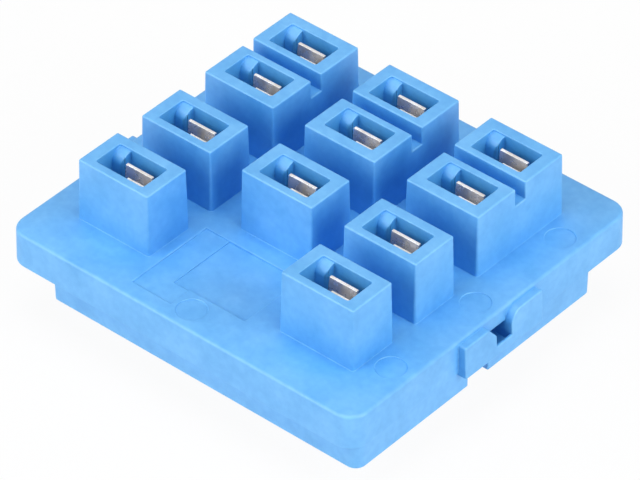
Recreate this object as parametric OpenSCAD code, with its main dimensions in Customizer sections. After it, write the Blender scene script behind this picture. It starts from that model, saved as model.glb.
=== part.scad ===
// Relay socket for a printed circuit board: one moulded housing with eleven blade towers,
// each holding a folded spring contact whose flat solder pin leaves through the floor.
// Rows A, B and C run along X and the columns coil, nc, no and com run along Y.
// The origin is the middle of the face that seats on the board, +Z points up to the relay.

/* [Flange] */
// Length of the flange, along X
flange_l = 38.6; // [38:0.1:44]
// Width of the flange, along Y
flange_w = 36.6; // [36:0.1:42]
// Thickness of the flange
flange_t = 3.4; // [3:0.1:5]
// Radius of the flange's vertical corners
flange_r = 1.9; // [1.2:0.1:3]
// Radius of the round along the flange's top edge
flange_edge = 0.3; // [0.2:0.1:0.8]
// Draft of the flange's sides, per side
flange_draft = 0.05; // [0.05:0.05:0.2]

/* [Lower body] */
// Height of the lower body under the flange
base_h = 2.5; // [2:0.1:5]
// Set-back of the lower body from the flange's long sides, along X
base_inset_x = 0.1; // [0.05:0.05:1]
// Set-back of the lower body from the flange's short sides, along Y
base_inset_y = 0.7; // [0.2:0.1:1.2]
// Length of the step cut out of two opposite corners, along X
step_l = 4.4; // [3:0.1:5]
// Width of the step cut out of two opposite corners, along Y
step_w = 4.7; // [3:0.1:5]
// Radius of the lower body's vertical corners
base_r = 1.1; // [1:0.1:2]
// Radius of the corners beside the steps
step_r = 0.5; // [0.5:0.1:1]
// Round along the lower body's bottom edge
base_edge = 0.1; // [0.1:0.1:0.2]
// Draft of the lower body's sides, per side
base_draft = 0.05; // [0.05:0.05:0.2]

/* [Contact layout] */
// Distance between the rows
row_pitch = 11.3; // [11:0.1:13]
// Shift of the middle row from the flange's centre line
row_shift = -0.2; // [-0.4:0.1:0.4]
// Place of the coil contacts along Y
coil_y = -10.9; // [-11.5:0.1:-10.6]
// Place of the normally closed contacts along Y
nc_y = -3; // [-3.4:0.1:-2.6]
// Place of the normally open contacts along Y
no_y = 5.4; // [5:0.1:5.5]
// Place of the common contacts along Y
com_y = 11.2; // [11.1:0.1:11.6]

/* [Towers] */
// Height of the towers above the flange
tower_h = 6.3; // [4:0.1:9]
// Length of a tower at its top, along X
tower_l = 7.8; // [7:0.1:8.2]
// Width of a single tower at its top, along Y
tower_w = 4.9; // [4.6:0.1:5.2]
// Shift of a single tower's centre from its contact, along Y
tower_shift = 0.1; // [0:0.05:0.2]
// End wall of a joined pair of towers
pair_wall = 1.15; // [0.8:0.05:1.4]
// Draft of a tower's sides, per side
tower_draft = 0.15; // [0.05:0.05:0.2]
// Radius of a tower's vertical corners at its foot
tower_r = 0.3; // [0.3:0.1:0.9]
// Width of the slot between the towers of a pair
slot_w = 1.3; // [1:0.1:1.5]
// Depth of the slot between the towers of a pair
slot_d = 1.8; // [1:0.1:3]

/* [Pockets] */
// Length of a blade opening, along X
open_l = 5.35; // [5.2:0.05:5.6]
// Width of a blade opening, along Y
open_w = 3.1; // [2.8:0.1:3.2]
// Radius of the opening's corners
open_r = 0.2; // [0.1:0.1:0.4]
// Thickness of the floor under a contact
floor_t = 2; // [1.5:0.1:2.5]
// Height of the snug seat that holds a contact's root
seat_h = 2.6; // [2:0.1:4]
// Thickness of the relay's blade
blade_t = 0.8; // [0.7:0.1:0.9]
// Length of the rib in the opening's corner, along X
rib_l = 1.2; // [1:0.1:1.6]
// Drop of the rib's top at the wall
rib_drop = 0.2; // [0.1:0.1:0.5]
// Height of the round from the rib's top down to its front
rib_slope = 1; // [0.5:0.1:1.2]
// Radius of the rib's free corner
rib_r = 0.4; // [0.1:0.05:0.4]

/* [Contacts] */
// Thickness of the contact strip
strip_t = 0.3; // [0.25:0.05:0.35]
// Width of the folded contact, over its two leaves
contact_w = 1.5; // [1.4:0.1:1.7]
// Inside radius of the folds
fold_r = 0.2; // [0.1:0.05:0.25]
// Drop of the leaf tips below the tower's top
leaf_drop = 0.7; // [0.5:0.1:1.5]
// Drop of the contact's back below the leaf tips
back_drop = 0.4; // [0.2:0.1:1]
// Gap between the leaves where they grip the blade
grip_gap = 0.45; // [0.3:0.05:0.6]
// Drop of the grip below the leaf tips
grip_drop = 2.1; // [1.5:0.1:2.5]
// Gap between the leaf tips
mouth_gap = 0.8; // [0.7:0.05:0.9]
// How much shorter the front leaf is than the rear one, along X
front_short = 1; // [0:0.1:1.2]
// How much lower the front leaf's tip is than the rear one's
front_drop = 0.4; // [0:0.1:0.6]
// Width of the slit between the leaves and the contact's back
slit_w = 0.2; // [0.15:0.05:0.3]
// Clearance between the contact and the housing
contact_fit = 0.05; // [0.03:0.01:0.1]
// Clearance between a contact's leaves and the pocket's rib
rib_gap = 0.45; // [0.1:0.05:0.5]

/* [Solder pins] */
// Length of a solder pin below the board seat
pin_l = 3.8; // [3:0.1:5]
// Width of a solder pin
pin_w = 1.5; // [1.2:0.1:1.6]
// Width of a solder pin's tip
pin_tip_w = 0.8; // [0.5:0.1:1]
// Length of a solder pin's taper
pin_taper = 1; // [0.5:0.1:1.5]
// Clearance around a solder pin in the floor
pin_gap = 0.1; // [0.05:0.05:0.2]
// Margin of the solder relief around a pin
relief_margin = 0.4; // [0.3:0.1:0.5]
// Depth of the solder relief around a pin
relief_d = 0.4; // [0.2:0.1:0.8]

/* [Clip sides] */
// How far a clip pad stands out of the flange's side
pad_out = 0.85; // [0.6:0.05:1.2]
// Place of the pads' first end along Y
pad_start = -4.8; // [-5.5:0.1:-4]
// Place of the pads' last end along Y
pad_end = 5.3; // [4.5:0.1:6]
// Lean of a pad's outer face, out towards its foot
pad_lean = 0.15; // [0:0.05:0.25]
// Drop of a pad's top below the flange's top
pad_drop = 0.4; // [0.2:0.1:0.6]
// How far a pad reaches below the flange
pad_skirt = 0.3; // [0.1:0.1:0.5]
// Place of the window's first side along Y
window_start = -0.7; // [-1:0.1:-0.4]
// Place of the window's last side along Y
window_end = 1.25; // [1.2:0.05:1.8]
// Height of the bar across the window's foot
window_bar = 1; // [0.6:0.1:1.2]
// Width of the bevel at the window's first corner
window_bevel_w = 1; // [0.5:0.1:1.5]
// Height of the bevel at the window's first corner
window_bevel_h = 1.2; // [0.6:0.1:1.4]
// Radius of the round at the window's last corner
window_round = 1.4; // [0.8:0.1:2]
// Depth of the clip's pocket in the flange's side
clip_d = 3.4; // [1.5:0.1:3.6]
// Thickness of the flange over the clip's pocket
clip_cover = 1.5; // [1.2:0.1:1.6]
// Place of the side notch's first side along Y
notch_start = -3.3; // [-3.8:0.1:-3]
// Depth of the notch in the lower body's side
notch_d = 1; // [0.8:0.1:1.4]

/* [Label recess] */
// Place of the recess's first side along X
label_start = -6.4; // [-6.8:0.1:-5.5]
// Place of the recess's last side along X
label_end = 4.1; // [3:0.1:6.5]
// Place of the recess's front side along Y
label_front = -14.3; // [-15:0.1:-13]
// Place of the recess's rear side along Y
label_rear = -7.3; // [-8:0.1:-6.5]
// Length of the recess's front tab, along X
label_tab_l = 4.4; // [3:0.1:6]
// How far the front tab reaches out along Y
label_tab_w = 2.3; // [1:0.1:2.5]
// Distance of the inner recess from the recess's first side
label_inner = 2.6; // [1:0.1:4]
// Depth of the label recess
label_d = 0.15; // [0.1:0.05:0.2]
// Depth of the inner recess, below the outer one
label_inner_d = 0.1; // [0.05:0.05:0.15]

/* [Ejector marks] */
// Radius of an ejector mark
ejector_r = 1.35; // [1:0.05:1.6]
// Depth of an ejector mark
ejector_d = 0.08; // [0.05:0.01:0.12]
// Distance of the ejector marks from the flange's sides
ejector_inset = 2.2; // [1.8:0.1:2.4]

/* [Underside] */
// Depth of the hollows in the underside
core_d = 3.2; // [1:0.1:3.5]
// Wall between a pocket and a hollow
core_wall = 1.5; // [1.2:0.1:1.6]
// Wall between two hollows, along Y
core_rib = 1.3; // [1:0.1:2]

/* [Hidden] */
$fn = 48;

// Each contact's name, row and column
SITES = [
    ["contact_coil_a", 0, 0],
    ["contact_coil_c", 2, 0],
    ["contact_nc_a", 0, 1],
    ["contact_nc_b", 1, 1],
    ["contact_nc_c", 2, 1],
    ["contact_no_a", 0, 2],
    ["contact_no_b", 1, 2],
    ["contact_no_c", 2, 2],
    ["contact_com_a", 0, 3],
    ["contact_com_b", 1, 3],
    ["contact_com_c", 2, 3],
];

ROWS = 3;
COLUMN_Y = [coil_y, nc_y, no_y, com_y];
SINGLE_COLUMNS = 2;
HOLLOWS = 4;
moulding_colour = "#4aa3f2";
tin_colour = "#d0d2d8";
// Overlap that joins the solids of one moulding
sink = 0.5;

function row_x(row) = row_shift + (row - (ROWS - 1) / 2) * row_pitch;
function site_at(site) = [row_x(site[1]), COLUMN_Y[site[2]], 0];
function ease(t) = (1 - cos(180 * t)) / 2;

// Levels above the board seat
flange_z = base_h;
deck_z = base_h + flange_t;
top_z = deck_z + tower_h;
pad_top = deck_z - pad_drop;
seat_z = floor_t + seat_h;
leaf_z = top_z - leaf_drop;
grip_z = leaf_z - grip_drop;
back_z = leaf_z - back_drop;
// Pair of towers: its two ends and its middle
pair_y0 = no_y - open_w / 2 - pair_wall;
pair_y1 = com_y + open_w / 2 + pair_wall;
slot_y = (no_y + com_y) / 2;
// Contact: its two ends along X and the middle lines of its leaves
back_x = open_l / 2 - contact_fit;
leaf_x = -open_l / 2 + rib_l + rib_gap;
fold_x = back_x - strip_t - fold_r;
root_y = contact_w / 2 - strip_t / 2;
grip_y = grip_gap / 2 + strip_t / 2;
mouth_y = mouth_gap / 2 + strip_t / 2;
LEAF_STEPS = 8;
RIB_STEPS = 4;

// Quarter round with the given radius, from a level side up to the top, as [inset, z]
function edge_round(r, z, steps = 4) =
    [for (i = [0:steps]) [r * (1 - cos(90 * i / steps)), z - r + r * sin(90 * i / steps)]];

// Block with round vertical corners: radius r at the +X -Y corner and the one across from it,
// q at the other two. Each point of side is [inset, z], from the foot up
module moulded_block(l, w, r, q, side) {
    for (sx = [-1, 1], sy = [-1, 1])
        translate([sx * (l / 2 - corner_radius(sx, sy, r, q)), sy * (w / 2 - corner_radius(sx, sy, r, q)), 0])
            corner_post(corner_radius(sx, sy, r, q), side);
    for (s = [-1, 1]) {
        translate([0, s * (r - q) / 2, 0])
            rotate([90, 0, 0])
                linear_extrude(w - r - q, center = true)
                    half_section(s, l / 2, side);
        translate([s * (r - q) / 2, 0, 0])
            rotate([90, 0, 90])
                linear_extrude(l - r - q, center = true)
                    half_section(s, w / 2, side);
    }
}

function corner_radius(sx, sy, r, q) = sx == sy ? q : r;

// Round corner of a moulded block
module corner_post(r, side) {
    rotate_extrude()
        polygon(concat(
            [[0, side[0][1]]],
            [for (p = side) [r - p[0], p[1]]],
            [[0, side[len(side) - 1][1]]]
        ));
}

// Section through one half of a moulded block, from just past its middle to the side at half
module half_section(s, half, side) {
    polygon(concat(
        [[-s * sink, side[0][1]]],
        [for (p = side) [s * (half - p[0]), p[1]]],
        [[-s * sink, side[len(side) - 1][1]]]
    ));
}

// Flat shape that is square at its -X end and has round corners at its +X end
module round_nose(x0, x1, w, r) {
    translate([x0, -w / 2])
        square([x1 - r - x0, w]);
    translate([x0, -w / 2 + r])
        square([x1 - x0, w - 2 * r]);
    for (s = [-1, 1])
        translate([x1 - r, s * (w / 2 - r)])
            circle(r);
}

// Rectangle with round corners, centred
module round_rectangle(l, w, r) {
    square([l - 2 * r, w], center = true);
    square([l, w - 2 * r], center = true);
    for (sx = [-1, 1], sy = [-1, 1])
        translate([sx * (l / 2 - r), sy * (w / 2 - r)])
            circle(r);
}

// ---- Housing ----

module flange() {
    side = concat([[0, flange_z]], [for (p = edge_round(flange_edge, deck_z)) [p[0] + flange_draft, p[1]]]);
    moulded_block(flange_l, flange_w, flange_r, flange_r, side);
}

// Lower body: two overlapping blocks leave a step at two opposite corners
module lower_body() {
    body_l = flange_l - 2 * base_inset_x;
    body_w = flange_w - 2 * base_inset_y;
    side = [
        [base_edge + base_draft, 0],
        [base_draft, base_edge],
        [0, base_h],
        [0, base_h + sink],
    ];
    for (s = [-1, 1])
        translate([s * step_l / 2, -s * step_w / 2, 0])
            moulded_block(body_l - step_l, body_w - step_w, base_r, step_r, side);
}

// One tower block between two places along Y, both given at its top
module tower(y0, y1) {
    side = [[0, deck_z - sink], [0, deck_z], [tower_draft, top_z]];
    translate([0, (y0 + y1) / 2, 0])
        moulded_block(tower_l + 2 * tower_draft, y1 - y0 + 2 * tower_draft, tower_r, tower_r, side);
}

module towers() {
    for (site = SITES)
        if (site[2] < SINGLE_COLUMNS)
            translate([row_x(site[1]), COLUMN_Y[site[2]] + tower_shift, 0])
                tower(-tower_w / 2, tower_w / 2);
    for (row = [0:ROWS - 1])
        translate([row_x(row), 0, 0])
            tower(pair_y0, pair_y1);
}

module pair_slots() {
    for (row = [0:ROWS - 1])
        translate([row_x(row) - tower_l, slot_y - slot_w / 2, top_z - slot_d])
            cube([2 * tower_l, slot_w, slot_d + sink]);
}

// Clip pad along one side, with the window for the clip and a bevelled and a round corner
module clip_pad() {
    inner = flange_l / 2 - sink;
    outer = flange_l / 2 + pad_out;
    pad_z = flange_z - pad_skirt;
    difference() {
        translate([0, pad_end, 0])
            rotate([90, 0, 0])
                linear_extrude(pad_end - pad_start)
                    polygon([[inner, pad_z], [outer, pad_z], [outer - pad_lean, pad_top], [inner, pad_top]]);
        translate([inner - sink, 0, 0])
            rotate([90, 0, 90])
                linear_extrude(outer - inner + 2 * sink)
                    window_shape(pad_z + window_bar);
    }
}

// Window seen from the side, open at its top
module window_shape(z) {
    translate([window_start, z])
        square([window_end - window_start, top_z - z]);
    polygon([
        [window_start, pad_top - window_bevel_h],
        [window_start, top_z],
        [window_start - window_bevel_w, top_z],
        [window_start - window_bevel_w, pad_top],
    ]);
    difference() {
        translate([window_end, pad_top - window_round])
            square([window_round, top_z]);
        translate([window_end + window_round, pad_top - window_round])
            circle(window_round);
    }
}

module clip_pocket() {
    translate([flange_l / 2 - clip_d, window_start, flange_z])
        cube([clip_d + sink, window_end - window_start, flange_t - clip_cover]);
}

module side_notch() {
    translate([flange_l / 2 - base_inset_x - notch_d, notch_start, -sink])
        cube([notch_d + pad_out + sink, window_start - notch_start, flange_z - pad_skirt + sink]);
}

// Hollow for one contact: the blade opening less its rib, the contact's seat and the pin's slot
module pocket() {
    difference() {
        translate([0, 0, seat_z])
            linear_extrude(top_z - seat_z + sink)
                round_rectangle(open_l, open_w, open_r);
        pocket_rib();
    }
    translate([0, 0, floor_t])
        linear_extrude(seat_z - floor_t + sink)
            round_nose(leaf_x - contact_fit, open_l / 2, contact_w + 2 * contact_fit, fold_r + strip_t);
    pin_space(pin_gap, -sink, floor_t + sink);
    pin_space(relief_margin, -sink, relief_d);
}

// Rib in the opening's corner: it guides the blade, and its top rounds down from the wall
module pocket_rib() {
    rib_w = (open_w - blade_t) / 2 - contact_fit;
    rib_y = open_w / 2 - rib_w;
    wall_y = open_w / 2 + sink;
    wall_z = top_z - rib_drop;
    intersection() {
        translate([-open_l / 2 - sink, 0, 0])
            rotate([90, 0, 90])
                linear_extrude(rib_l + sink)
                    polygon(concat(
                        [[rib_y, floor_t], [wall_y, floor_t], [wall_y, wall_z]],
                        [for (i = [0:RIB_STEPS]) rib_roof(90 * i / RIB_STEPS, rib_w, wall_z)]
                    ));
        translate([0, (rib_y + wall_y + sink) / 2, 0])
            linear_extrude(top_z)
                round_nose(-open_l, -open_l / 2 + rib_l, wall_y + sink - rib_y, rib_r);
    }
}

// Point on the rib's round top, at an angle from the wall (0) to the rib's front (90)
function rib_roof(angle, rib_w, wall_z) =
    [open_w / 2 - rib_w * sin(angle), wall_z - rib_slope * (1 - cos(angle))];

// Space around a solder pin, between two levels
module pin_space(margin, z0, z1) {
    translate([-pin_w / 2 - margin, root_y - strip_t / 2 - margin, z0])
        cube([pin_w + 2 * margin, strip_t + 2 * margin, z1 - z0]);
}

// Hollows between the rows of pockets, open at the underside
module underside_hollows() {
    hollow_w = row_pitch - open_l - 2 * core_wall;
    reach = flange_w / 2 - step_w;
    step = (2 * reach + core_rib) / HOLLOWS;
    hollow_l = step - core_rib;
    for (side = [-1, 1], i = [0:HOLLOWS - 1])
        translate([row_shift + side * row_pitch / 2, -reach + i * step + hollow_l / 2, -sink])
            linear_extrude(core_d + sink)
                round_rectangle(hollow_w, hollow_l, core_rib / 2);
}

// Shallow recess between the coil towers, in two levels, with a tab towards the front
module label_recess() {
    width = label_rear - label_front;
    translate([label_start, label_front, deck_z - label_d])
        cube([label_end - label_start, width, sink]);
    translate([label_start, label_front - label_tab_w, deck_z - label_d])
        cube([label_tab_l, label_tab_w + sink, sink]);
    translate([label_start + label_inner, label_front, deck_z - label_d - label_inner_d])
        cube([label_end - label_start - label_inner, width, sink]);
}

// Round marks where the moulding was pushed out of its mould
module ejector_marks() {
    side_x = flange_l / 2 - ejector_inset;
    front_y = ejector_inset - flange_w / 2;
    places = [[side_x, coil_y], [side_x, 0], [side_x, com_y], [row_x(1), front_y]];
    for (at = places)
        translate([at[0], at[1], deck_z - ejector_d])
            cylinder(r = ejector_r, h = sink);
}

module housing() {
    color(moulding_colour)
        difference() {
            union() {
                lower_body();
                flange();
                towers();
                for (s = [0, 1])
                    mirror([s, 0, 0])
                        clip_pad();
            }
            pair_slots();
            for (site = SITES)
                translate(site_at(site))
                    pocket();
            for (s = [0, 1])
                mirror([s, 0, 0]) {
                    clip_pocket();
                    side_notch();
                }
            underside_hollows();
            label_recess();
            ejector_marks();
        }
}

// ---- Contacts ----

// Plan of the folded strip: two leaves joined by the back, open at its -X end
module strip_plan() {
    difference() {
        round_nose(leaf_x, back_x, contact_w, fold_r + strip_t);
        round_nose(leaf_x - sink, back_x - strip_t, contact_w - 2 * strip_t, fold_r);
    }
}

// Points of a leaf's middle line, from the root in to the grip and from the grip out to the tip
function leaf_in(t) = [root_y + (grip_y - root_y) * ease(t), seat_z + (grip_z - seat_z) * t];
function leaf_out(t, tip_z) = [grip_y + (mouth_y - grip_y) * t * t, grip_z + (tip_z - grip_z) * t];

// Side view of one leaf: it leans in to the grip and flares out to its tip
module leaf_side(tip_z) {
    line = concat(
        [for (i = [0:LEAF_STEPS]) leaf_in(i / LEAF_STEPS)],
        [for (i = [1:LEAF_STEPS]) leaf_out(i / LEAF_STEPS, tip_z)]
    );
    last = len(line) - 1;
    polygon(concat(
        [for (p = line) [p[0] - strip_t / 2, p[1]]],
        [for (i = [last:-1:0]) [line[i][0] + strip_t / 2, line[i][1]]]
    ));
}

// Solder pin below one leaf, seen from the side
module pin_side() {
    polygon([
        [-pin_w / 2, floor_t],
        [pin_w / 2, floor_t],
        [pin_w / 2, pin_taper - pin_l],
        [pin_tip_w / 2, -pin_l],
        [-pin_tip_w / 2, -pin_l],
        [-pin_w / 2, pin_taper - pin_l],
    ]);
}

module contact() {
    color(tin_colour) {
        translate([0, 0, floor_t])
            linear_extrude(seat_z - floor_t)
                strip_plan();
        translate([0, 0, seat_z])
            linear_extrude(back_z - seat_z)
                intersection() {
                    strip_plan();
                    translate([fold_x, -contact_w / 2])
                        square([back_x - fold_x, contact_w]);
                }
        for (s = [0, 1])
            mirror([0, s, 0])
                translate([leaf_x + s * front_short, 0, 0])
                    rotate([90, 0, 90])
                        linear_extrude(fold_x - slit_w - leaf_x - s * front_short)
                            leaf_side(leaf_z - s * front_drop);
        translate([0, root_y + strip_t / 2, 0])
            rotate([90, 0, 0])
                linear_extrude(strip_t)
                    pin_side();
    }
}

housing();
for (site = SITES)
    translate(site_at(site))
            contact();
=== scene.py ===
"""Looks for the relay socket: a blue moulded housing with eleven tinned fork contacts.

Lengths are in metres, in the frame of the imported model: +X and +Y along the board, +Z towards the relay.
"""

import math

import bmesh
import bpy
from mathutils import Matrix, Vector
from mathutils.kdtree import KDTree


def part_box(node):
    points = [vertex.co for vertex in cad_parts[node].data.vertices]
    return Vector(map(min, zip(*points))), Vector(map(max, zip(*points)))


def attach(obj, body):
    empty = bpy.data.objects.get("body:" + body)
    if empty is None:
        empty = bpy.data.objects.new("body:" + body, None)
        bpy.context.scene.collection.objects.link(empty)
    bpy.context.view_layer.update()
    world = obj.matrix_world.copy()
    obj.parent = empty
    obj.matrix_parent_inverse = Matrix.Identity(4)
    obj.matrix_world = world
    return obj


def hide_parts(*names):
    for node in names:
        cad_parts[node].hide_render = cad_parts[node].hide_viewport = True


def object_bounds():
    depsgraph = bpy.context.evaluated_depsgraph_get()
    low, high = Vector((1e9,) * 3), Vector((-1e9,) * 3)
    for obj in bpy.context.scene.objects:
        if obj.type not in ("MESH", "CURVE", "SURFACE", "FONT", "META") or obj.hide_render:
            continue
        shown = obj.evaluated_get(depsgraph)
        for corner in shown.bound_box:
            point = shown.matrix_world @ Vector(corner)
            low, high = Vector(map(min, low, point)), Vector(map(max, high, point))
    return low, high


MM = 0.001
BODY = "root"

# The camera stands at the viewing angle of a catalogue picture, far off, with a long lens.
VIEW_AZIMUTH = math.radians(40.79)
VIEW_ELEVATION = math.radians(39.46)
VIEW_DISTANCE = 0.4676
VIEW_OFFSET = Vector((0.6, -0.7, 0.0)) * MM
LENS = 310
SENSOR = 36
CLIP_START = 0.01
CLIP_END = 10.0

# Softboxes: name, azimuth and elevation in degrees, width, height, and power in watts.
SOFTBOXES = (
    ("left_softbox", -24, 25, 0.9, 0.7, 6.4),
    ("right_softbox", 95, 24, 0.6, 0.7, 6.0),
    ("top_softbox", 20, 85, 0.5, 0.5, 4.0),
)
LAMP_DISTANCE = 0.9
FILL_LEVEL = 0.03

# Below, colours are linear, a noise is its scale, detail and roughness, a ramp is its stops, each a place
# from 0 to 1 and a colour, and a relief is the strength and depth of a bump.
WHITE = (1.0, 1.0, 1.0)

# The stretch of a noise's values over which a roughness changes.
NOISE_SPAN = (0.3, 0.7)

# The floor: how far it runs each way, its paper, and the share of it that shows as plain white.
FLOOR_REACH = 1.5
PAPER_NOISE = (900, 2.0, 0.5)
PAPER_RAMP = ((0.3, (0.88, 0.88, 0.88)), (0.7, (0.92, 0.92, 0.92)))
PAPER_ROUGHNESS = 0.9
PAPER_SPECULAR = 0.1
FLOOR_WHITE = 0.94

# Moulded plastic: flow mottling, fine specks, a painted highlight that makes its edges paler, and painted
# shade that darkens the hollows.
BLUE_DEEP = (0.108, 0.415, 0.83)
BLUE = (0.140, 0.462, 0.88)
BLUE_PALE = (0.178, 0.510, 0.92)
# Painted highlight: the rounded edges take the blue times this paler tint.
EDGE_HIGHLIGHT_TINT = (1.14, 1.06, 1.01)
MOTTLE_NOISE = (260, 4.0, 0.6)
MOTTLE_RAMP = ((0.30, BLUE_DEEP), (0.50, BLUE), (0.72, BLUE_PALE))
SPECK_NOISE = (1500, 2.0, 0.5)
SPECK_RAMP = ((0.35, (0.80, 0.88, 0.95)), (0.65, WHITE))
SPECK_SHARE = 0.7
# Painted shade: where ambient occlusion finds a hollow within this reach, the colour darkens towards the
# first stop.
SHADE_RAMP = ((0.2, (0.42, 0.80, 0.90)), (0.88, WHITE))
SHADE_REACH = 7 * MM
SHADE_SAMPLES = 6
GRAIN_NOISE = (5200, 2.0, 0.5)
GRAIN_RELIEF = (0.18, 0.03 * MM)
SINK_NOISE = (330, 3.0, 0.5)
SINK_RELIEF = (0.25, 0.12 * MM)
PLASTIC_ROUGHNESS = (0.42, 0.54)
PLASTIC_IOR = 1.5
PLASTIC_SPECULAR = 0.85

# Tinned strip: bright and dull patches, with drawing marks that run along the strip.
TIN = (0.92, 0.92, 0.94)
TIN_DULL = (0.76, 0.71, 0.65)
TIN_ROUGHNESS = (0.22, 0.34)
TIN_METALLIC = 0.72
PATCH_NOISE = (900, 3.0, 0.6)
PATCH_RAMP = ((0.40, TIN), (0.62, TIN_DULL))
MARK_NOISE = (9000, 3.0, 0.6)
MARK_STRETCH = (1.0, 1.0, 0.08)
MARK_RELIEF = (0.1, 0.01 * MM)

# Sockets of Blender's colour mix, which has one of each name for every kind of value.
MIX_FIRST = 6
MIX_SECOND = 7
MIX_RESULT = 2

# Rounded edges: the full width and steps, and the turn between faces from which an edge is sharp.
EDGE_WIDTH = 0.14 * MM
EDGE_STEPS = 3
EDGE_ANGLE = math.radians(28)
STRIP_EDGE = 0.03 * MM
STRIP_STEPS = 2

# The share of the gap to a neighbour that a round takes: beside its like, at the top of a step, at its foot.
EDGE_ROOM = 0.4
STEP_TOP = 0.8
STEP_FOOT = 0.12

# A foot, where two faces meet in a hollow corner, gets this share of the full width.
FOOT_SHARE = 0.3

# Points are set this far apart along the edges to measure the gaps between them.
EDGE_SPACING = 0.08 * MM

# Two edges make one chain where they run on with less than this turn, given as its cosine.
CHAIN_TURN = math.cos(math.radians(50))

# Faces within this turn count as one flat face, and corners within this distance as one corner.
FLAT_ANGLE = math.radians(0.6)
WELD = 0.002 * MM

# How far from the middle of a contact the housing's flat faces may be split, and the decimals of a
# millimetre to which the places are rounded, so that the contacts of one row share a place.
CUT_REACH = 1.2 * MM
CUT_DECIMALS = 2


def direction(azimuth, elevation):
    """Unit vector from the object to something that sees it from that azimuth and elevation."""
    flat = math.cos(elevation)
    return Vector((math.sin(azimuth) * flat, -math.cos(azimuth) * flat, math.sin(elevation)))


class Shader:
    """Small helper that adds nodes to a material and joins them."""

    def __init__(self, name):
        self.material = bpy.data.materials.new(name)
        self.material.use_nodes = True
        self.tree = self.material.node_tree
        self.tree.nodes.clear()
        self.out = self.add("ShaderNodeOutputMaterial")

    def add(self, kind, **settings):
        """A new node with these settings."""
        node = self.tree.nodes.new(kind)
        for key, value in settings.items():
            setattr(node, key, value)
        return node

    def link(self, source, target):
        self.tree.links.new(source, target)

    def place(self):
        """Coordinates that stay with the object."""
        return self.add("ShaderNodeTexCoord").outputs["Object"]

    def noise(self, coordinates, scale, detail, roughness):
        """A cloudy value, mostly from 0.3 to 0.7."""
        node = self.add("ShaderNodeTexNoise")
        self.link(coordinates, node.inputs["Vector"])
        node.inputs["Scale"].default_value = scale
        node.inputs["Detail"].default_value = detail
        node.inputs["Roughness"].default_value = roughness
        return node.outputs["Fac"]

    def ramp(self, factor, stops):
        """A colour that runs through the stops as the factor goes from 0 to 1."""
        node = self.add("ShaderNodeValToRGB")
        self.link(factor, node.inputs["Fac"])
        band = node.color_ramp
        for place, _ in stops[1:-1]:
            band.elements.new(place)
        for element, (place, colour) in zip(band.elements, stops):
            element.position = place
            element.color = (*colour, 1.0)
        return node.outputs["Color"]

    def span(self, factor, given, wanted):
        """The factor's given stretch spread over the wanted one, each a lowest and a highest value."""
        node = self.add("ShaderNodeMapRange")
        self.link(factor, node.inputs["Value"])
        for end, values in (("From", given), ("To", wanted)):
            for side, value in zip(("Min", "Max"), values):
                node.inputs[f"{end} {side}"].default_value = value
        return node.outputs["Result"]

    def multiply(self, colour, tint, share=1.0):
        """The colour times the tint, which is another socket or a plain colour, by that share."""
        node = self.add("ShaderNodeMix", data_type="RGBA", blend_type="MULTIPLY")
        node.inputs["Factor"].default_value = share
        self.link(colour, node.inputs[MIX_FIRST])
        if isinstance(tint, tuple):
            node.inputs[MIX_SECOND].default_value = (*tint, 1.0)
        else:
            self.link(tint, node.inputs[MIX_SECOND])
        return node.outputs[MIX_RESULT]

    def bump(self, height, relief, normal=None):
        """The normal after the height has raised the surface, on top of an earlier bump if one is given."""
        node = self.add("ShaderNodeBump")
        strength, depth = relief
        node.inputs["Strength"].default_value = strength
        node.inputs["Distance"].default_value = depth
        self.link(height, node.inputs["Height"])
        if normal is not None:
            self.link(normal, node.inputs["Normal"])
        return node.outputs["Normal"]

    def surface(self, colour, roughness, normal):
        """The shader that the material shows, with these three sockets on it."""
        node = self.add("ShaderNodeBsdfPrincipled")
        self.link(colour, node.inputs["Base Color"])
        self.link(roughness, node.inputs["Roughness"])
        self.link(normal, node.inputs["Normal"])
        self.link(node.outputs["BSDF"], self.out.inputs["Surface"])
        return node


def moulding_material(name, highlight_tint):
    """Satin blue thermoplastic with faint flow mottling and a fine moulded grain, darkened by painted shade
    in its hollows; the tint makes it paler, which paints a highlight on the rounded edges.
    """
    shader = Shader(name)
    place = shader.place()
    mottle = shader.noise(place, *MOTTLE_NOISE)
    specks = shader.ramp(shader.noise(place, *SPECK_NOISE), SPECK_RAMP)
    hollow = shader.add("ShaderNodeAmbientOcclusion", samples=SHADE_SAMPLES, only_local=True)
    hollow.inputs["Distance"].default_value = SHADE_REACH
    colour = shader.multiply(shader.ramp(mottle, MOTTLE_RAMP), specks, SPECK_SHARE)
    # Painted highlight: a tint above 1 lightens the colour, and white leaves it as it is.
    colour = shader.multiply(colour, highlight_tint)
    # Painted shade: the colour darkens in hollows, in gaps and at the feet of walls.
    colour = shader.multiply(colour, shader.ramp(hollow.outputs["AO"], SHADE_RAMP))
    roughness = shader.span(mottle, NOISE_SPAN, PLASTIC_ROUGHNESS)
    grain = shader.bump(shader.noise(place, *GRAIN_NOISE), GRAIN_RELIEF)
    normal = shader.bump(shader.noise(place, *SINK_NOISE), SINK_RELIEF, grain)
    surface = shader.surface(colour, roughness, normal)
    surface.inputs["IOR"].default_value = PLASTIC_IOR
    surface.inputs["Specular IOR Level"].default_value = PLASTIC_SPECULAR
    return shader.material


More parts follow.
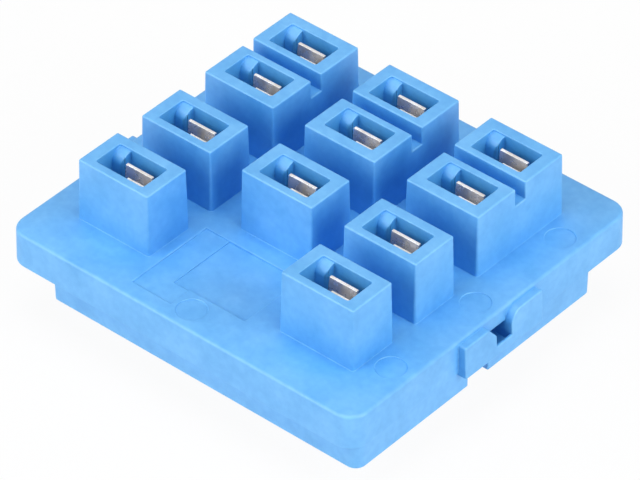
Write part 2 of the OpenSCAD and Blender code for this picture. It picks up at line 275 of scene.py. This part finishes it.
def tinned_material():
    """Tinned strip: soft metal with drawing marks along the strip and dull patches."""
    shader = Shader("tinned_metal")
    place = shader.place()
    stretch = shader.add("ShaderNodeMapping")
    stretch.inputs["Scale"].default_value = MARK_STRETCH
    shader.link(place, stretch.inputs["Vector"])
    marks = shader.noise(stretch.outputs["Vector"], *MARK_NOISE)
    patch = shader.noise(place, *PATCH_NOISE)
    colour = shader.ramp(patch, PATCH_RAMP)
    roughness = shader.span(patch, NOISE_SPAN, TIN_ROUGHNESS)
    surface = shader.surface(colour, roughness, shader.bump(marks, MARK_RELIEF))
    surface.inputs["Metallic"].default_value = TIN_METALLIC
    return shader.material


def set_materials(obj, *materials):
    """Gives the object these materials and no others, in this order."""
    obj.data.materials.clear()
    for material in materials:
        obj.data.materials.append(material)


def sharp_edges(mesh):
    """The edges between two faces that turn enough to be rounded."""
    paired = [edge for edge in mesh.edges if len(edge.link_faces) == 2]
    return [edge for edge in paired if edge.calc_face_angle(0.0) > EDGE_ANGLE]


def edge_chains(sharp):
    """Numbers the chains of sharp edges that run on into each other with no corner between."""
    parent = {edge: edge for edge in sharp}

    def top(edge):
        while parent[edge] is not edge:
            parent[edge] = parent[parent[edge]]
            edge = parent[edge]
        return edge

    for vert in {vert for edge in sharp for vert in edge.verts}:
        rays = [
            (edge, (edge.other_vert(vert).co - vert.co).normalized())
            for edge in vert.link_edges
            if edge in parent
        ]
        for i, (first, out) in enumerate(rays):
            for second, back in rays[i + 1 :]:
                if first.is_convex == second.is_convex and out.dot(-back) > CHAIN_TURN:
                    parent[top(first)] = top(second)
    numbers = {}
    return {edge: numbers.setdefault(top(edge), len(numbers)) for edge in sharp}


def chain_corners(chains):
    """Where chains meet: each such place, with the set of the chains that meet there."""
    found = {}
    for edge, chain in chains.items():
        for vert in edge.verts:
            found.setdefault(vert, set()).add(chain)
    return [(vert.co, meeting) for vert, meeting in found.items() if len(meeting) > 1]


def chain_points(chains):
    """Points spread along the sharp edges, each with the number of its chain."""
    points = []
    for edge, chain in chains.items():
        start, end = (vert.co for vert in edge.verts)
        steps = max(1, math.ceil((end - start).length / EDGE_SPACING))
        points += [(start.lerp(end, (i + 0.5) / steps), chain) for i in range(steps)]
    return points


def place_tree(marked):
    """A search tree over the places of a list of pairs, each a place and what is marked there."""
    tree = KDTree(len(marked))
    for i, (place, _) in enumerate(marked):
        tree.insert(place, i)
    tree.balance()
    return tree


def gap_share(convex, other_convex):
    """How much of the gap to its neighbour an edge's round may take."""
    if convex == other_convex:
        return EDGE_ROOM
    return STEP_TOP if convex else STEP_FOOT


def edge_shares(mesh, width):
    """For each sharp edge, how much of the full round fits: less where another chain runs close by."""
    chains = edge_chains(sharp_edges(mesh))
    convex = {chain: edge.is_convex for edge, chain in chains.items()}
    corners = chain_corners(chains)
    points = chain_points(chains)
    corner_tree = place_tree(corners)
    point_tree = place_tree(points)
    reach = width / EDGE_ROOM
    near = [{i for _, i, _ in corner_tree.find_range(point, reach)} for point, _ in points]
    fits = {chain: width if convex[chain] else width * FOOT_SHARE for chain in convex}
    for i, (point, chain) in enumerate(points):
        for _, j, gap in point_tree.find_range(point, reach):
            other = points[j][1]
            if other == chain or any({chain, other} <= corners[k][1] for k in near[i] & near[j]):
                continue
            fits[chain] = min(fits[chain], gap * gap_share(convex[chain], convex[other]))
    return {edge.index: fits[chain] / width for edge, chain in chains.items()}


def clear_cuts(node, axis, middles):
    """For each middle, a place near it in the widest gap between the node's corners along the axis."""
    places = set()
    for middle in middles:
        corners = (vert.co[axis] for vert in node.data.vertices)
        near = sorted(corner for corner in corners if abs(corner - middle) < CUT_REACH)
        before, after = max(zip(near, near[1:]), key=lambda pair: pair[1] - pair[0])
        places.add(round((before + after) / 2 / MM, CUT_DECIMALS) * MM)
    return sorted(places)


def split_faces(mesh, cuts):
    """Splits the mesh along planes across each axis, with a seam on every edge that this makes."""
    for axis, places in cuts.items():
        for place in places:
            cut = bmesh.ops.bisect_plane(
                mesh,
                geom=mesh.verts[:] + mesh.edges[:] + mesh.faces[:],
                plane_co=[place if i == axis else 0.0 for i in range(3)],
                plane_no=[1.0 if i == axis else 0.0 for i in range(3)],
                dist=WELD,
            )
            for piece in cut["geom_cut"]:
                if isinstance(piece, bmesh.types.BMEdge):
                    piece.seam = True


def join_faces(mesh):
    """Joins the triangles of each flat face into one, up to the seams."""
    bmesh.ops.dissolve_limit(
        mesh,
        angle_limit=FLAT_ANGLE,
        verts=mesh.verts,
        edges=mesh.edges,
        use_dissolve_boundaries=False,
        delimit={"SEAM"},
    )
    mesh.edges.index_update()
    mesh.verts.index_update()
    mesh.normal_update()


def free_copy(node, name):
    """A copy of a CAD node that stands where the node does and is tied to nothing."""
    obj = node.copy()
    obj.data = node.data.copy()
    for key in list(obj.keys()):
        del obj[key]
    obj.parent = None
    obj.matrix_world = Matrix.Identity(4)
    obj.name = name
    obj.data.name = name
    bpy.context.scene.collection.objects.link(obj)
    return obj


def soft_edged(node, name, width, steps, cuts):
    """A copy of a CAD node whose faces are joined up again and whose sharp edges are rounded."""
    obj = free_copy(node, name)
    mesh = bmesh.new()
    mesh.from_mesh(obj.data)
    bmesh.ops.remove_doubles(mesh, verts=mesh.verts, dist=WELD)
    split_faces(mesh, cuts)
    join_faces(mesh)
    weight = mesh.edges.layers.float.new("bevel_weight_edge")
    shares = edge_shares(mesh, width)
    for edge in mesh.edges:
        edge[weight] = shares.get(edge.index, 0.0)
        edge.smooth = True
    for face in mesh.faces:
        face.smooth = True
    mesh.to_mesh(obj.data)
    mesh.free()
    for attribute in ("custom_normal", "sharp_face", "sharp_edge"):
        if attribute in obj.data.attributes:
            obj.data.attributes.remove(obj.data.attributes[attribute])
    bevel = obj.modifiers.new("soft_edges", "BEVEL")
    bevel.width = width
    bevel.segments = steps
    bevel.limit_method = "WEIGHT"
    bevel.use_clamp_overlap = False
    bevel.miter_outer = "MITER_ARC"
    bevel.harden_normals = True
    return obj


def add_softbox(name, azimuth, elevation, width, height, power, target):
    """A soft white lamp that looks at the target from that azimuth and elevation, in degrees."""
    data = bpy.data.lights.new(name, "AREA")
    data.shape = "RECTANGLE"
    data.size = width
    data.size_y = height
    data.energy = power
    lamp = bpy.data.objects.new(name, data)
    bpy.context.scene.collection.objects.link(lamp)
    away = direction(math.radians(azimuth), math.radians(elevation))
    lamp.location = target + away * LAMP_DISTANCE
    lamp.rotation_euler = away.to_track_quat("Z", "Y").to_euler()


def sees_white(tree):
    """1 where the camera, a mirror or glass looks straight at it, and 0 for plain light."""
    path = tree.nodes.new("ShaderNodeLightPath")
    most = path.outputs["Is Camera Ray"]
    for kind in ("Is Glossy Ray", "Is Transmission Ray"):
        node = tree.nodes.new("ShaderNodeMath")
        node.operation = "MAXIMUM"
        tree.links.new(most, node.inputs[0])
        tree.links.new(path.outputs[kind], node.inputs[1])
        most = node.outputs[0]
    return most


def mix_shaders(tree, share, first, second):
    """The first shader, with the second one over it by that share."""
    mix = tree.nodes.new("ShaderNodeMixShader")
    tree.links.new(share, mix.inputs["Fac"])
    for place, shader in enumerate((first, second), start=1):
        tree.links.new(shader, mix.inputs[place])
    return mix.outputs["Shader"]


def white_background(tree, strength):
    """A plain white background of that strength."""
    node = tree.nodes.new("ShaderNodeBackground")
    node.inputs["Color"].default_value = (*WHITE, 1.0)
    node.inputs["Strength"].default_value = strength
    return node.outputs["Background"]


def add_world(level):
    """A white surround that gives light at that level and shows as plain white."""
    world = bpy.data.worlds.new("studio")
    bpy.context.scene.world = world
    world.use_nodes = True
    tree = world.node_tree
    tree.nodes.clear()
    out = tree.nodes.new("ShaderNodeOutputWorld")
    seen = mix_shaders(tree, sees_white(tree), white_background(tree, level), white_background(tree, 1.0))
    tree.links.new(seen, out.inputs["Surface"])


def floor_material():
    """Pale paper that takes a shadow, and mostly shows as plain white."""
    shader = Shader("floor_paper")
    paper = shader.add("ShaderNodeBsdfPrincipled")
    grain = shader.noise(shader.place(), *PAPER_NOISE)
    shader.link(shader.ramp(grain, PAPER_RAMP), paper.inputs["Base Color"])
    paper.inputs["Roughness"].default_value = PAPER_ROUGHNESS
    paper.inputs["Specular IOR Level"].default_value = PAPER_SPECULAR
    white = shader.add("ShaderNodeEmission")
    share = shader.add("ShaderNodeMath", operation="MULTIPLY")
    shader.link(sees_white(shader.tree), share.inputs[0])
    share.inputs[1].default_value = FLOOR_WHITE
    seen = mix_shaders(shader.tree, share.outputs[0], paper.outputs["BSDF"], white.outputs["Emission"])
    shader.link(seen, shader.out.inputs["Surface"])
    return shader.material


def add_floor(level, reach):
    """A pale floor that keeps the object's soft shadow and runs off into white."""
    mesh = bpy.data.meshes.new("floor")
    sides = ((-reach, -reach), (reach, -reach), (reach, reach), (-reach, reach))
    mesh.from_pydata([(x, y, level) for x, y in sides], [], [(0, 1, 2, 3)])
    floor = bpy.data.objects.new("floor", mesh)
    bpy.context.scene.collection.objects.link(floor)
    set_materials(floor, floor_material())


def add_camera(target):
    """The camera, looking at the target from the viewing angle."""
    data = bpy.data.cameras.new("camera")
    data.lens = LENS
    data.sensor_width = SENSOR
    data.clip_start = CLIP_START
    data.clip_end = CLIP_END
    camera = bpy.data.objects.new("camera", data)
    bpy.context.scene.collection.objects.link(camera)
    away = direction(VIEW_AZIMUTH, VIEW_ELEVATION)
    camera.location = target + away * VIEW_DISTANCE
    camera.rotation_euler = away.to_track_quat("Z", "Y").to_euler()
    bpy.context.scene.camera = camera


def middle_of(name):
    """The middle of a CAD node's box."""
    low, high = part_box(name)
    return (Vector(low) + Vector(high)) / 2


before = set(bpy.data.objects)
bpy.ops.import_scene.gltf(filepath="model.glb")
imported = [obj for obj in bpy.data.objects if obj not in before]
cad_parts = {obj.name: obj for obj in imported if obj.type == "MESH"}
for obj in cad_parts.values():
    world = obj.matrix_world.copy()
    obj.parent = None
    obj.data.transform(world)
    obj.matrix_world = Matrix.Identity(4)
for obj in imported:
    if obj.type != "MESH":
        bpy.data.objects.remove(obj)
cad_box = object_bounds()
low, high = (Vector(corner) for corner in cad_box)
centre = (low + high) / 2

# The housing's flat faces are split along the contacts' rows and columns, clear of its corners.
housing_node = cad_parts["housing"]
contacts = {name: node for name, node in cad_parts.items() if name.startswith("contact_")}
middles = [middle_of(name) for name in contacts]
cuts = {axis: clear_cuts(housing_node, axis, {middle[axis] for middle in middles}) for axis in (0, 1)}

plastic = moulding_material("moulding_plastic", WHITE)
edge_highlight_plastic = moulding_material("moulding_painted_edge_highlight", EDGE_HIGHLIGHT_TINT)
metal = tinned_material()

housing = soft_edged(housing_node, "housing_moulding", EDGE_WIDTH, EDGE_STEPS, cuts)
set_materials(housing, plastic, edge_highlight_plastic)
# The rounded edge faces take the paler material, a painted highlight along the edges.
housing.modifiers["soft_edges"].material = 1
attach(housing, BODY)
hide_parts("housing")

for name, node in contacts.items():
    strip = soft_edged(node, name + "_strip", STRIP_EDGE, STRIP_STEPS, {})
    set_materials(strip, metal)
    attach(strip, BODY)
    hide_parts(name)

add_camera(centre + VIEW_OFFSET)
add_world(FILL_LEVEL)
add_floor(low.z, FLOOR_REACH)
for lamp in SOFTBOXES:
    add_softbox(*lamp, centre)

scene = bpy.context.scene
scene.view_settings.view_transform = "Standard"
